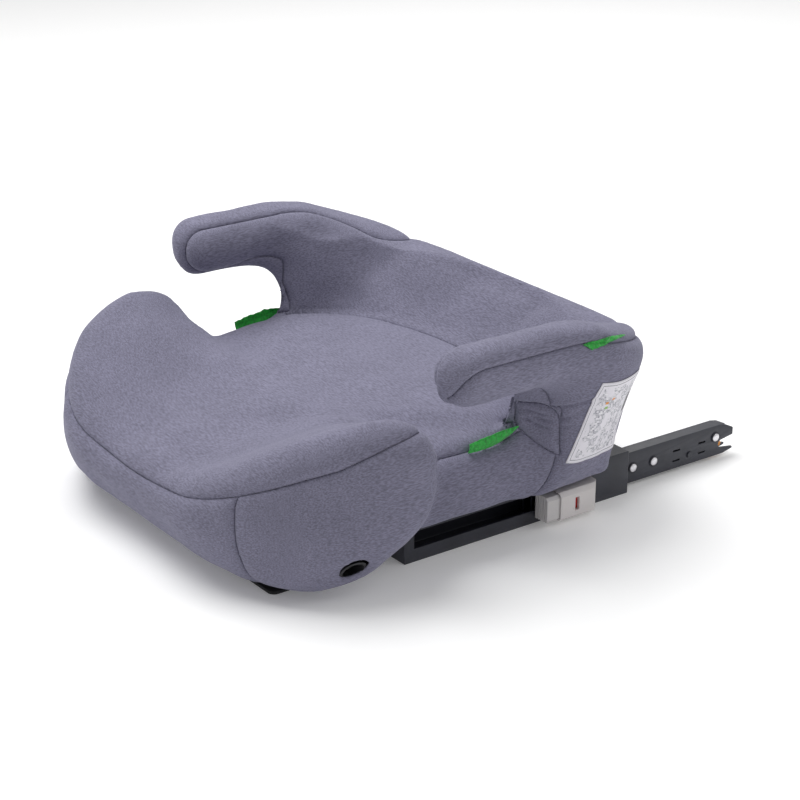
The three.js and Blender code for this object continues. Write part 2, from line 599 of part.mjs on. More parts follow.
// ---------------------------------------------------------------- the object as a scene
const root = new THREE.Group();
const centreGroup = new THREE.Group();
root.add(centreGroup);
const sides = [["right", 1], ["left", -1]].map(([suffix, scale]) => {
  const group = new THREE.Group();
  group.scale.x = scale;
  root.add(group);
  return { suffix, group };
});

function addCentre(name, manifold, finish) {
  const mesh = new THREE.Mesh(geometryOf(manifold), finish);
  mesh.name = name;
  centreGroup.add(mesh);
}

// One piece on each side: the left one is the mirror image of the right one.
function addPair(name, manifold, finish) {
  const geometry = geometryOf(manifold);
  for (const { suffix, group } of sides) {
    const mesh = new THREE.Mesh(geometry, finish);
    mesh.name = name + "_" + suffix;
    group.add(mesh);
  }
}

// Soft goods: the cover is what lies between two level surfaces of the padding, and the foam is inside it.
const UNDERSIDE_CUT = prism(basePlateOutline(0.8), "z", -20, SHELL.skirtLow + 0.3);
let opening = UNDERSIDE_CUT;
for (const [a, b] of [[RAIL.inX, RAIL.outX], [-RAIL.outX, -RAIL.inX]])
  opening = opening.add(box([a - 0.6, RAIL.frontY - 0.6, -20], [b + 0.6, 260, RAIL.topZ + 0.6]));
const socket = socketLiner();
opening = opening.add(socket.hole).add(mirrored(socket.hole));

let cover = paddingSurface(0).subtract(paddingSurface(-COVER_THICKNESS)).subtract(opening);
const rightHalf = box([0, -400, -50], [400, 400, 400]);
for (const [name, cutter] of Object.entries(seamCutters)) {
  const panel = largest(cover.intersect(cutter(-SEAM_GAP / 2)).intersect(rightHalf));
  addPair(name, panel, FABRIC);
  const gone = cutter(SEAM_GAP / 2);
  cover = cover.subtract(gone).subtract(mirrored(gone));
}
for (const [name, cutter] of Object.entries(centreCutters)) {
  addCentre(name, largest(cover.intersect(cutter(-SEAM_GAP / 2))), FABRIC);
  cover = cover.subtract(cutter(SEAM_GAP / 2));
}
addCentre("seat_cover_top", largest(cover), FABRIC);
addCentre(
  "seat_foam",
  largest(paddingSurface(-FOAM_DEPTH).subtract(opening).subtract(shellEnvelope(0.4))),
  FOAM,
);

addCentre("seat_shell", seatShell(), PLASTIC);
addCentre("base_plate", prism(basePlateOutline(0), "z", BASE_PLATE.lowZ, BASE_PLATE.highZ), PLASTIC);
addCentre("cross_channel_front", crossChannel(-18, 18, 0, 22), STEEL);
addCentre("cross_channel_rear", crossChannel(124, 156, 6, 28), STEEL);
const trim = paddingSurface(TRIM_THICKNESS + GAP).subtract(paddingSurface(GAP));
addCentre("care_label", largest(trim.intersect(labelCut())), LABEL);

addPair("rail", rail(), STEEL);
addPair("rail_bushing", railBushing(), PLASTIC);
addPair("slide_shoe", barCollar(BAR.frontY + 1, BAR.frontY + 10), PLASTIC);
addPair("isofix_bar", isofixBar(), STEEL);
addPair("hook_pin", rivet([HOOK_PIVOT.y, HOOK_PIVOT.z], 3, 4.6), BRIGHT);
for (const [name, place] of Object.entries(RIVETS)) addPair(name, rivet(place, 3, 4.6), BRIGHT);
addPair("pawl_pin", rivet([PAWL_PIVOT.y, PAWL_PIVOT.z], 2, 2.8, 0.9), STEEL);
addPair("latch_hook", latchHook(), BRIGHT);
addPair("trigger", trigger(), ORANGE);
addPair("pawl", pawl(), BRIGHT);
addPair("release_rod", releaseRod(), BRIGHT);
addPair("release_housing", releaseHousing(), GREY_PLASTIC);
addPair("release_button", releaseButton(), GREY_PLASTIC);
addPair("button_spring", buttonSpring(), BRIGHT);
addPair("indicator", indicator(), RED);
addPair("lap_belt_guide", largest(trim.intersect(lapGuideCut)), GREEN);
addPair("rear_belt_guide", largest(trim.intersect(rearGuideCut)), GREEN);
addPair("front_foot", frontFoot(), RUBBER);
addPair("socket_liner", largest(socket.cup.intersect(paddingSurface(0.5))), PLASTIC);

export default root;
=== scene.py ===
"""Looks of the booster seat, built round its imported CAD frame.

The body formula and the seams are in millimetres, Blender objects in metres. +X is the seat's right-hand
side, the connectors point to +Y, and "ax" is the distance from the middle plane.
"""

import json
import math

import bmesh
import bpy
import numpy as np
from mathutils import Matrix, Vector, kdtree

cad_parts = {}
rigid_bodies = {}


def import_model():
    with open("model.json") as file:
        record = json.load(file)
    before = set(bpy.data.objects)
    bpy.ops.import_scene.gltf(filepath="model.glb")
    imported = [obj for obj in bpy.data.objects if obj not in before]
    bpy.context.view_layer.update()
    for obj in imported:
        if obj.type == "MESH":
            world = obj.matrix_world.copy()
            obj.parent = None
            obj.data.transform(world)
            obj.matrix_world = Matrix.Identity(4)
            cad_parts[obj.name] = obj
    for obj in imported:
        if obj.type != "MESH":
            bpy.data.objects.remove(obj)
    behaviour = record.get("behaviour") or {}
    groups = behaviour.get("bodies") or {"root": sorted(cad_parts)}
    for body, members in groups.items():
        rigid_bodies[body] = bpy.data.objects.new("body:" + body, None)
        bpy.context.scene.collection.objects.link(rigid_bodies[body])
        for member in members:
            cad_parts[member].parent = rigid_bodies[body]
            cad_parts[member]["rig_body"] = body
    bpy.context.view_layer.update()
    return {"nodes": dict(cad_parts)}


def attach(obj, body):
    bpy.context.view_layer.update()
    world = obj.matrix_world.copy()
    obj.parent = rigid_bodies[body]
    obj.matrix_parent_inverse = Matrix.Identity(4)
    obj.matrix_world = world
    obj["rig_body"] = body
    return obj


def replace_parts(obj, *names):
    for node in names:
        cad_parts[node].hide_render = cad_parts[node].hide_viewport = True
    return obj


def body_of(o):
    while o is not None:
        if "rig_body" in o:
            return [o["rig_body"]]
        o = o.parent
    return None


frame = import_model()
scene = bpy.context.scene
MM = 0.001

# ---------------------------------------------------------------- sizes, in mm
FINE_CELL = 4.0  # grid cell of the mesh that is shown
COARSE_CELL = 8.0  # grid cell of the mesh that the cloth simulation swells
GRID_SIZE = (456, 440, 216)  # the box of grid cells that holds the padding, centred on the middle plane
GRID_LOW = (-221.0, -9.0)  # y and z where that box starts
SEAM_HOLD = 6.0  # cloth within this distance of a seam is held by it
SINK = 2.2  # how far the seams lie below the padding's full shape
SWELL_CAP = 6.0  # the most that the cloth may move away from where it starts
SWELL_FRAMES = 20  # length of the cloth simulation
NEAREST = 6  # how many points of the coarse mesh give one point of the fine mesh its offset
SEAM_GROOVE = (2.0, 1.6)  # depth and width of the sharp groove at a seam
SEAM_DIP = (0.9, 5)  # depth and width of the soft dip round it
FOLD_WIDTH = 1.3  # width of a crease
# The ridge beside a crease: its height as a share of the crease's depth, its distance and its width.
FOLD_RIDGE = (0.3, 3.5, 1.8)
# How near a seam or crease edges are halved, the length above which they are, and whether seams count.
REFINEMENTS = ((9, 2.9, True), (4, 1.9, True), (3, 1.4, False))
FRONT_SEAM_X = 132
CAP_END_X = 118
REAR_SEAM_X = 120
OUTER_SEAM_IN = 22  # the armrest's outer seam, inwards from the plan outline
SOCKET = (-117.5, 29.0)  # y and z of the round socket in each side of the thigh support
SOCKET_TILT = 0.35
PANEL_THICKNESS = 2.5


# ---------------------------------------------------------------- the padding's shape, as in the CAD part
def smooth(a, b, v):
    t = np.clip((v - a) / (b - a), 0, 1)
    return t * t * (3 - 2 * t)


def mix(a, b, t):
    return a + (b - a) * t


def rounded(a, b, r):
    return np.minimum(np.maximum(a, b), -r) + np.hypot(np.maximum(a + r, 0), np.maximum(b + r, 0))


def merged(a, b, k):
    h = np.clip(0.5 + 0.5 * (b - a) / k, 0, 1)
    return mix(b, a, h) - k * h * (1 - h)


def pan_height(y):
    return mix(74, 94, smooth(-200, 40, y)) + 2 * smooth(60, 140, y)


def outside_pan(ax, y, back=126.0, curve=0.0022):
    return rounded(ax - 158, y - back + curve * ax * ax, 55)


def thigh_support(ax, y, z):
    lean = 0.035 * np.maximum(z - 45, 0) + 0.08 * np.maximum(60 - z, 0)
    plan = rounded(ax - 205 + lean, -207 + 0.0002 * ax * ax - y + 0.3 * lean, 138)
    plan = rounded(plan, y + 37 + 0.25 * np.maximum(z - 100, 0), 28)
    rise = 60 * smooth(25, 200, ax) * mix(0.72, 1, smooth(-205, -140, y))
    top = pan_height(y) + rise - 0.32 * np.maximum(y + 92, 0) * smooth(60, 150, ax)
    d = rounded(plan, (z - top) * 0.93, 30)
    d = rounded(d, 0.6 * (y + 88) - 0.8 * (z - 25), 24)
    d = rounded(d, -0.665 * y - 0.747 * z - 119, 34)
    return rounded(d, 3 - z, 22)


def waist(ax, y, z):
    plan = rounded(ax - mix(177, 170, smooth(60, 95, z)), np.abs(y) - 150, 20)
    return rounded(rounded(plan, z - pan_height(y), 18), 34 - z, 8)


def rear_outline(ax, y, z):
    below = np.maximum(130 - z, 0)
    half = 215 - 0.12 * np.minimum(35, np.maximum(165 - z, 0)) - 0.1 * below - 0.0022 * below**2
    return rounded(ax - half, y - 198 + 0.05 * below + 0.0018 * below**2, 118)


def rear_block(ax, y, z):
    plan = rounded(rear_outline(ax, y, z), 0.707 * (ax - 167 - (y - 50)), 16)
    slope = mix(2.6, 0.95, smooth(60, 130, y))
    top = np.minimum(pan_height(y) + slope * np.maximum(outside_pan(ax, y), 0), 147)
    return rounded(rounded(plan, (z - top) * 0.75, 18), 34 + 6 * smooth(30, 110, y) - z, 12)


def armrest(ax, y, z):
    top = 188 - 43 * smooth(58, 205, y) + 0.2 * (ax - 200)
    d = rounded(rear_outline(ax, y, z), 164 - 16 * smooth(60, 150, y) - ax, 24)
    d = rounded(rounded(d, -43 - y, 25), z - top, 22)
    return rounded(d, (136 - z) * 0.9, 20)


def padding(p):
    ax, y, z = np.abs(p[..., 0]), p[..., 1], p[..., 2]
    d = merged(thigh_support(ax, y, z), waist(ax, y, z), 24)
    return merged(merged(d, rear_block(ax, y, z), 18), armrest(ax, y, z), 38)


def slope_of(p):
    steps = np.eye(3) * 0.5
    return np.stack([padding(p + e) - padding(p - e) for e in steps], -1)


def outward(p):
    slope = slope_of(p)
    return slope / np.linalg.norm(slope, axis=1)[:, None]


def settle(p, level, passes=4):
    """Moves points along the slope to where the padding's value is level."""
    for _ in range(passes):
        g = slope_of(p)
        step = (padding(p) - level) / np.maximum((g * g).sum(-1), 0.2)
        p = p - g * np.clip(step, -4, 4)[..., None]
    return p


CORNERS = [(i, j, k) for i in (0, 1) for j in (0, 1) for k in (0, 1)]


def padding_mesh(cell):
    """One vertex in each grid cell that the surface crosses, and one quad round each edge that it crosses."""
    count = np.array([math.ceil(size / cell) for size in GRID_SIZE])
    low = np.array([-count[0] * cell / 2, *GRID_LOW])
    axes = [low[i] + cell * np.arange(count[i] + 1) for i in range(3)]
    value = padding(np.stack(np.meshgrid(*axes, indexing="ij"), -1))
    inside = value < 0

    def corner(array, c):
        ends = [array.shape[i] - 1 + c[i] for i in range(3)]
        return array[c[0] : ends[0], c[1] : ends[1], c[2] : ends[2]]

    total = sum(corner(inside, c).astype(int) for c in CORNERS)
    cells = np.argwhere((total > 0) & (total < 8))
    number = -np.ones(total.shape, int)
    number[tuple(cells.T)] = np.arange(len(cells))
    sums, hits = np.zeros((len(cells), 3)), np.zeros(len(cells))
    for c in CORNERS:
        for axis in range(3):
            if c[axis]:
                continue
            d = list(c)
            d[axis] = 1
            va, vb = value[tuple((cells + c).T)], value[tuple((cells + d).T)]
            crossed = (va < 0) != (vb < 0)
            point = np.tile(np.array(c, float), (len(cells), 1))
            point[:, axis] += np.where(crossed, va / np.where(crossed, va - vb, 1), 0)
            sums[crossed] += point[crossed]
            hits[crossed] += 1
    points = low + cell * (cells + sums / hits[:, None])

    quads = []
    unit = np.eye(3, dtype=int)
    for axis in range(3):
        u, v = unit[(axis + 1) % 3], unit[(axis + 2) % 3]
        ends = np.array(inside.shape) - unit[axis]
        here = inside[: ends[0], : ends[1], : ends[2]]
        ahead = inside[unit[axis][0] :, unit[axis][1] :, unit[axis][2] :]
        edge = np.argwhere(here != ahead)
        quad = np.stack([number[tuple((edge - o).T)] for o in (0 * u, u, u + v, v)], 1)
        backwards = ~here[tuple(edge.T)]
        quad[backwards] = quad[backwards][:, ::-1]
        quads.append(quad)
    return settle(points, 0), np.concatenate(quads)


# ---------------------------------------------------------------- seams and panels of the cover
def cap_outer_height(y):
    rear = np.maximum(y - 75, 0)
    return 172 - 0.12 * rear - 0.0015 * rear**2


def band_height(ax, y):
    return 65 + 45 * (ax / 186) ** 2.2 + 0.22 * np.maximum(y + 127, 0)


# Each function is negative inside its panel. A point belongs to the first panel whose function is negative.
def underside_opening(ax, y, z):
    plate = np.maximum(rounded(ax - 156.8, y - 165.8, 104), rounded(ax - 156.8, -60.8 - y, 20))
    rail = np.maximum(np.maximum(np.abs(ax - 141) - 13.6, -48.6 - y), z - 38.1)
    return np.minimum(np.maximum(plate, z - 44), rail)


def socket_hole(ax, y, z):
    dy, dz = y - SOCKET[0], z - SOCKET[1]
    c, s = math.cos(SOCKET_TILT), math.sin(SOCKET_TILT)
    ring = np.hypot((dy * c + dz * s) / 1.5, dz * c - dy * s) - 7.6
    return np.maximum(ring, 150 - ax)


def notch_gusset(ax, y, z):
    d = np.maximum(rounded(ax - 190, z - 114, 12), 96 - 1.25 * (ax - 169) - z)
    return np.maximum(np.maximum(d, 166 - ax), np.maximum(43 - y, y - 80))


def arm_outer_face(ax, y, z):
    front = rounded(-39 - y, z - cap_outer_height(y), 24)
    return np.maximum(front, -OUTER_SEAM_IN - rear_outline(ax, y, z))


def armrest_cap(ax, y, z):
    upper = rear_outline(ax, y, 170) + 37 + 8 * smooth(60, 150, y)
    under = ax - 175 + 14 * smooth(-5, 46, y) + 0.5 * np.maximum(120 - z, 0)
    inner = mix(under, upper, smooth(140, 158, z))
    limits = np.maximum(CAP_END_X - ax, mix(129, 99, smooth(-20, 40, y)) - z)
    limits = np.maximum(limits, np.where(z < 143, -50 - y, -90.0))  # not on the thigh support in front
    return np.maximum(np.maximum(-inner, limits), -arm_outer_face(ax, y, z))


def outer_cover(ax, y, z):
    upper = np.maximum(arm_outer_face(ax, y, z), 112 - z)
    lower = np.maximum(73 - 0.0065 * np.maximum(74 - z, 0) ** 2 - y, z - 118)
    lower = np.maximum(lower, -40 - rear_outline(ax, y, z))
    return np.maximum(np.minimum(upper, lower), REAR_SEAM_X - ax)


def front_band(ax, y, z):
    return np.maximum(z - band_height(ax, y), y + 46 - 0.12 * (z - 90))


def front_side_panel(ax, y, z):
    return np.maximum(front_band(ax, y, z), FRONT_SEAM_X - ax)


def side_panel(ax, y, z):
    d = np.maximum(z - 87.5 - 0.35 * np.maximum(y - 36, 0), 150 - ax)
    return np.maximum(d, np.maximum(-50 - y, y - 85))


def rear_cover(ax, y, z):
    return np.maximum(150 + 0.286 * (z - 20) - y, ax - REAR_SEAM_X)


def inner_wall_cover(ax, y, z):
    round_pan = np.maximum(-rounded(ax - 158, y - 116 + 0.0018 * ax * ax, 55), 46 - y)
    under_arm = np.maximum(mix(130, 104, smooth(-20, 40, y)) - z, -48 - y)
    return np.maximum(np.minimum(round_pan, under_arm), 70 - z)


# Name, function, and whether the two sides are separate pieces. The first two are holes.
PANELS = [
    ("opening", underside_opening, False),
    ("socket", socket_hole, False),
    ("notch_gusset", notch_gusset, True),
    ("armrest_cap", armrest_cap, True),
    ("outer_cover", outer_cover, True),
    ("front_side_panel", front_side_panel, True),
    ("front_band", front_band, False),
    ("side_panel", side_panel, True),
    ("rear_cover", rear_cover, False),
    ("inner_wall_cover", inner_wall_cover, False),
    ("seat_cover_top", None, False),
]
HOLES = 2


# ---------------------------------------------------------------- cutting and refining a triangle mesh
def edges_of(faces):
    pairs = np.sort(np.concatenate([faces[:, [0, 1]], faces[:, [1, 2]], faces[:, [2, 0]]]), 1)
    edges, back = np.unique(pairs, axis=0, return_inverse=True)
    return edges, back.reshape(3, -1).T


def split_edges(points, faces, labels, edges, of_face, marked, share):
    """Puts a new point on each marked edge, share of the way along it, and divides the faces to suit."""
    new = -np.ones(len(edges), int)
    new[marked] = len(points) + np.arange(marked.sum())
    a, b = points[edges[marked, 0]], points[edges[marked, 1]]
    points = np.concatenate([points, settle(a + (b - a) * share[:, None], 0)])
    mids = new[of_face]
    cuts = (mids >= 0).sum(1)
    out, owner = [faces[cuts == 0]], [labels[cuts == 0]]

    def turned(rows, first):
        order = (first[:, None] + np.arange(3)) % 3
        return np.take_along_axis(faces[rows], order, 1), np.take_along_axis(mids[rows], order, 1)

    def emit(rows, *triangles):
        for t in triangles:
            out.append(np.stack(t, 1))
            owner.append(labels[rows])

    rows = np.flatnonzero(cuts == 1)
    v, m = turned(rows, np.argmax(mids[rows] >= 0, 1))
    emit(rows, (v[:, 0], m[:, 0], v[:, 2]), (m[:, 0], v[:, 1], v[:, 2]))
    rows = np.flatnonzero(cuts == 2)
    v, m = turned(rows, (np.argmax(mids[rows] < 0, 1) + 1) % 3)
    emit(rows, (m[:, 0], v[:, 1], m[:, 1]), (v[:, 0], m[:, 0], m[:, 1]), (v[:, 0], m[:, 1], v[:, 2]))
    rows = np.flatnonzero(cuts == 3)
    v, m = faces[rows], mids[rows]
    emit(
        rows, (v[:, 0], m[:, 0], m[:, 2]), (m[:, 0], v[:, 1], m[:, 1]), (m[:, 1], v[:, 2], m[:, 2]),
        (m[:, 0], m[:, 1], m[:, 2]),
    )
    return points, np.concatenate(out), np.concatenate(owner)


def cut_panels(points, faces):
    """Divides the faces along every seam, and labels each face with its panel's place in PANELS."""
    labels = -np.ones(len(faces), int)
    fixed = np.zeros(len(points), bool)
    for number, (_, function, _) in enumerate(PANELS[:-1]):
        def value_at(p):
            return function(np.abs(p[:, 0]), p[:, 1], p[:, 2])

        value = value_at(points)
        edges, of_face = edges_of(faces)
        open_edge = np.zeros(len(edges), bool)
        open_edge[of_face[labels < 0].ravel()] = True
        va, vb = value[edges[:, 0]], value[edges[:, 1]]
        crossed = open_edge & (va * vb < 0)
        share = np.where(crossed, va / np.where(crossed, va - vb, 1), 0.5)
        # a vertex very close to the seam moves onto it, so that no thin triangles are left
        for end, near in ((0, share < 0.2), (1, share > 0.8)):
            rows = np.flatnonzero(crossed & near)
            v = edges[rows, end]
            usable = ~fixed[v] & (value[v] != 0)
            v, first = np.unique(v[usable], return_index=True)
            rows = rows[usable][first]
            p, q = points[edges[rows, 0]], points[edges[rows, 1]]
            points[v] = settle(p + (q - p) * share[rows, None], 0)
            value[v] = 0
        va, vb = value[edges[:, 0]], value[edges[:, 1]]
        crossed = open_edge & (va * vb < 0)
        share = (va / np.where(crossed, va - vb, 1))[crossed]
        before = len(points)
        points, faces, labels = split_edges(points, faces, labels, edges, of_face, crossed, share)
        value = np.concatenate([value, np.zeros(len(points) - before)])
        fixed = np.concatenate([fixed, np.ones(len(points) - before, bool)])
        fixed |= value == 0
        labels[(labels < 0) & (value[faces].sum(1) < 0)] = number
    labels[labels < 0] = len(PANELS) - 1
    return points, faces, labels


def seam_points(points, faces, labels):
    """Points a millimetre or two apart along every edge between two panels or round a hole."""
    edges, of_face = edges_of(faces)
    low, high = np.full(len(edges), 99), np.full(len(edges), -1)
    np.minimum.at(low, of_face.ravel(), np.repeat(labels, 3))
    np.maximum.at(high, of_face.ravel(), np.repeat(labels, 3))
    seam = edges[low != high]
    a, b = points[seam[:, 0]], points[seam[:, 1]]
    return np.concatenate([a + (b - a) * t for t in (0.0, 0.25, 0.5, 0.75)])


def tree_of(points):
    tree = kdtree.KDTree(len(points))
    for i, p in enumerate(points):
        tree.insert(p, i)
    tree.balance()
    return tree


def distances(tree, points):
    return np.array([tree.find(p)[2] for p in points])


# ---------------------------------------------------------------- cloth
def swell(points, quads, held):
    """Blows the cover up while its seams are held. Returns each point's movement."""
    mesh = bpy.data.meshes.new("swelling")
    mesh.from_pydata((points * MM).tolist(), [], quads.tolist())
    obj = bpy.data.objects.new("swelling", mesh)
    scene.collection.objects.link(obj)
    obj.vertex_groups.new(name="held").add(np.flatnonzero(held).tolist(), 1.0, "REPLACE")
    cloth = obj.modifiers.new("Cloth", "CLOTH")
    settings = cloth.settings
    settings.quality = 5
    settings.mass = 0.3
    settings.tension_stiffness = settings.compression_stiffness = 15
    settings.bending_stiffness = 0.5
    settings.vertex_group_mass = "held"
    settings.use_pressure = True
    settings.uniform_pressure_force = 4
    settings.shrink_min = -0.03  # the cut panels are a little larger than the shape that they cover
    settings.effector_weights.gravity = 0
    cloth.collision_settings.use_collision = False
    cloth.point_cache.frame_start, cloth.point_cache.frame_end = 1, SWELL_FRAMES
    for number in range(1, SWELL_FRAMES + 1):
        scene.frame_set(number)
    result = obj.evaluated_get(bpy.context.evaluated_depsgraph_get()).to_mesh()
    moved = np.zeros(len(points) * 3)
    result.vertices.foreach_get("co", moved)
    bpy.data.objects.remove(obj)
    scene.frame_set(1)
    return moved.reshape(-1, 3) / MM - points


def cover_offsets(tree_seams):
    """Points of a coarse mesh of the padding, and how far the swollen cover lies outside each."""
    points, quads = padding_mesh(COARSE_CELL)
    from_seam = distances(tree_seams, points)
    movement = swell(settle(points, -SINK), quads, from_seam < SEAM_HOLD)
    out = np.clip((movement * outward(points)).sum(1), -1.0, SWELL_CAP)
    neighbours = [quads[:, [i, (i + 1) % 4]] for i in range(4)]
    pairs = np.concatenate(neighbours + [n[:, ::-1] for n in neighbours])
    degree = np.bincount(pairs[:, 0], minlength=len(points))
    for _ in range(2):
        mean = np.bincount(pairs[:, 0], out[pairs[:, 1]], len(points)) / np.maximum(degree, 1)
        out = 0.5 * out + 0.5 * mean
    return points, out / (1 + out / SWELL_CAP) - SINK


# ---------------------------------------------------------------- materials
def finish_material(name, color, roughness, metallic=0.0):
    material = bpy.data.materials.new(name)
    material.use_nodes = True
    shader = material.node_tree.nodes["Principled BSDF"]
    shader.inputs["Base Color"].default_value = (*color, 1)
    shader.inputs["Roughness"].default_value = roughness
    shader.inputs["Metallic"].default_value = metallic
    return material, material.node_tree.nodes, material.node_tree.links, shader


def object_coords(nodes):
    return nodes.new("ShaderNodeTexCoord").outputs["Object"]


def noise(nodes, links, coords, scale, detail=2.0, stretch=(1, 1, 1)):
    mapping = nodes.new("ShaderNodeMapping")
    mapping.inputs["Scale"].default_value = stretch
    links.new(coords, mapping.inputs["Vector"])
    node = nodes.new("ShaderNodeTexNoise")
    node.inputs["Scale"].default_value = scale
    node.inputs["Detail"].default_value = detail
    links.new(mapping.outputs[0], node.inputs["Vector"])
    return node.outputs["Fac"]


def ramp(nodes, links, source, stops):
    node = nodes.new("ShaderNodeValToRGB")
    elements = node.color_ramp.elements
    while len(elements) < len(stops):
        elements.new(0.5)
    for element, (place, color) in zip(elements, stops):
        element.position = place
        element.color = (*color, 1)
    links.new(source, node.inputs[0])
    return node.outputs["Color"]


def feed(links, source, socket):
    """Links an output to the socket, or sets the socket to a number or a colour."""
    if isinstance(source, bpy.types.NodeSocket):
        links.new(source, socket)
    else:
        socket.default_value = source


# A Mix node's two inputs and its output, by the type that it mixes.
MIX_SOCKETS = {"RGBA": (6, 7, 2), "FLOAT": (2, 3, 0)}


def blended(nodes, links, factor, a, b, kind="RGBA", blend="MIX"):
    node = nodes.new("ShaderNodeMix")
    node.data_type, node.blend_type = kind, blend
    first, second, result = MIX_SOCKETS[kind]
    feed(links, factor, node.inputs[0])
    feed(links, a, node.inputs[first])
    feed(links, b, node.inputs[second])
    return node.outputs[result]


def combined(nodes, links, operation, a, b=0.0):
    node = nodes.new("ShaderNodeMath")
    node.operation = operation
    feed(links, a, node.inputs[0])
    feed(links, b, node.inputs[1])
    return node.outputs[0]


def bump(nodes, links, shader, height, distance, strength=1.0):
    node = nodes.new("ShaderNodeBump")
    node.inputs["Distance"].default_value = distance
    node.inputs["Strength"].default_value = strength
    links.new(height, node.inputs["Height"])
    links.new(node.outputs[0], shader.inputs["Normal"])


def shades(color, low, high):
    return tuple(c * low for c in color), color, tuple(min(c * high, 1) for c in color)


def worn_material(name, color, roughness, metallic=0.0, grain=900, depth=0.00006, low=0.82, high=1.15):
    """A moulded, painted or plated surface: slight cloudiness in its colour and gloss, and a fine grain."""
    material, nodes, links, shader = finish_material(name, color, roughness, metallic)
    coords = object_coords(nodes)
    dark, middle, light = shades(color, low, high)
    cloud = noise(nodes, links, coords, 45, 4)
    tone = ramp(nodes, links, cloud, [(0.3, dark), (0.5, middle), (0.72, light)])
    links.new(tone, shader.inputs["Base Color"])
    gloss = nodes.new("ShaderNodeMapRange")
    gloss.inputs["To Min"].default_value = roughness - 0.07
    gloss.inputs["To Max"].default_value = roughness + 0.09
    links.new(noise(nodes, links, coords, 160, 3), gloss.inputs["Value"])
    links.new(gloss.outputs[0], shader.inputs["Roughness"])
    bump(nodes, links, shader, noise(nodes, links, coords, grain, 2), depth)
    return material


def knit_material():
    """Heather flat knit: short streaks of lighter and darker yarn along the courses, and fine loops."""
    material, nodes, links, shader = finish_material("heather_knit", KNIT, 0.9)
    shader.inputs["Sheen Weight"].default_value = 0.18
    shader.inputs["Sheen Roughness"].default_value = 0.45
    shader.inputs["Sheen Tint"].default_value = (0.8, 0.8, 0.95, 1)
    shader.inputs["Specular IOR Level"].default_value = 0.15
    coords = object_coords(nodes)
    split = nodes.new("ShaderNodeSeparateXYZ")
    links.new(nodes.new("ShaderNodeNewGeometry").outputs["Normal"], split.inputs[0])
    turn = nodes.new("ShaderNodeMapRange")
    turn.inputs["From Min"].default_value, turn.inputs["From Max"].default_value = 0.55, 0.75
    links.new(combined(nodes, links, "ABSOLUTE", split.outputs[0]), turn.inputs["Value"])

    def streaks(scale, length):
        along_x = noise(nodes, links, coords, scale, 2, (1 / length, 1, 1))
        along_y = noise(nodes, links, coords, scale, 2, (1, 1 / length, 1))
        return blended(nodes, links, turn.outputs[0], along_x, along_y, "FLOAT")

    yarn, loops = streaks(1150, 5), streaks(2300, 2)
    dark, middle, light = shades(KNIT, 0.76, 1.22)
    colour = ramp(nodes, links, yarn, [(0.34, dark), (0.5, middle), (0.66, light)])
    cloud = ramp(nodes, links, noise(nodes, links, coords, 22, 3), [(0.3, (0.9,) * 3), (0.7, (1.0,) * 3)])
    links.new(blended(nodes, links, 1.0, colour, cloud, blend="MULTIPLY"), shader.inputs["Base Color"])
    bump(nodes, links, shader, combined(nodes, links, "ADD", yarn, loops), 0.0002, 0.7)
    return material


def tape_material():
    """Woven green tape: fine ribs across it and darker troughs."""
    material, nodes, links, shader = finish_material("green_tape", GREEN, 0.6)
    shader.inputs["Sheen Weight"].default_value = 0.2
    coords = object_coords(nodes)
    wave = nodes.new("ShaderNodeTexWave")
    wave.bands_direction = "Y"
    wave.inputs["Scale"].default_value = 260
    wave.inputs["Distortion"].default_value = 1.5
    links.new(coords, wave.inputs["Vector"])
    dark, middle, light = shades(GREEN, 0.55, 1.35)
    yarn = ramp(nodes, links, noise(nodes, links, coords, 500, 3), [(0.3, dark), (0.5, middle), (0.7, light)])
    links.new(yarn, shader.inputs["Base Color"])
    bump(nodes, links, shader, wave.outputs["Fac"], 0.0002)
    return material


# Printed marks on the label as shares of its width and height: left, right, bottom, top.
BORDER = (
    (0.04, 0.96, 0.035, 0.042), (0.04, 0.96, 0.958, 0.965),
    (0.04, 0.047, 0.035, 0.965), (0.953, 0.96, 0.035, 0.965),
)
PRINTED_AREA = (0.09, 0.91, 0.07, 0.93)
BLOCKS = (
    ((0.22, 0.27, 0.72, 0.75), (0.75, 0.3, 0.05)),
    ((0.31, 0.36, 0.76, 0.79), (0.75, 0.3, 0.05)),
    ((0.24, 0.29, 0.66, 0.69), (0.25, 0.5, 0.1)),
    ((0.8, 0.9, 0.5, 0.76), (0.03, 0.03, 0.04)),
)
INK = (0.12, 0.12, 0.15)


